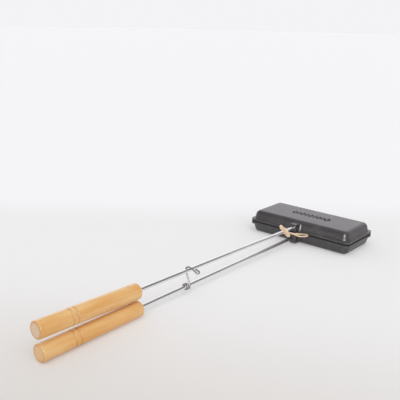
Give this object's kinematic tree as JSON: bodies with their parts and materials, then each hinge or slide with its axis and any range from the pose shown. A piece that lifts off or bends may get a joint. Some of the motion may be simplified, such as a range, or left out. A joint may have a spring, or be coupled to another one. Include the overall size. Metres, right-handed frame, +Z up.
{
  "type": "pie iron",
  "caption": "Long-handled cast-iron pie iron for campfire cooking: hinged rectangular pans on steel rods with turned wooden handles, a bent-wire latch and a leather lace",
  "frame": {"origin": "middle of the lower pan's flat base, on the surface that the closed iron stands on", "axes": "+X along the rods, from the handles to the hinge; +Y across the rods, to the left of a user who holds the handles; +Z up"},
  "size_m": [0.7497, 0.235, 0.059],
  "materials": {
    "cast_iron": "matte seasoned casting with a fine sand texture",
    "pin_steel": "cold-drawn steel, dulled",
    "bright_steel": "bright plated steel",
    "turned_wood": "turned hardwood, warm amber, satin varnish",
    "latch_wire": "bent spring wire, zinc grey",
    "leather_lace": "pale tan round leather lace, matte"
  },
  "bodies": {
    "lower_half": {"lower_pan": "cast_iron", "hinge_pin": "pin_steel", "lower_rod": "bright_steel", "lower_rod_pin": "pin_steel", "lower_handle": "turned_wood", "lower_handle_pin": "bright_steel"},
    "upper_half": {"upper_pan": "cast_iron", "upper_rod": "bright_steel", "upper_rod_pin": "pin_steel", "upper_handle": "turned_wood", "upper_handle_pin": "bright_steel", "lace_knot": "leather_lace", "lace_loop": "leather_lace", "lace_top_bow": "leather_lace", "lace_low_bow": "leather_lace"},
    "latch": {"latch": "latch_wire"}
  },
  "joints": [
    {"name": "head_hinge", "type": "hinge", "parent": "lower_half", "child": "upper_half", "pos_m": [0.0595, 0, 0.0235], "axis": [0, 1, 0], "range_deg": [0, 110]},
    {"name": "latch_swing", "type": "hinge", "parent": "lower_half", "child": "latch", "pos_m": [-0.39, 0.0035, 0.0133], "axis": [-1, 0, 0], "range_deg": [0, 95]}
  ]
}
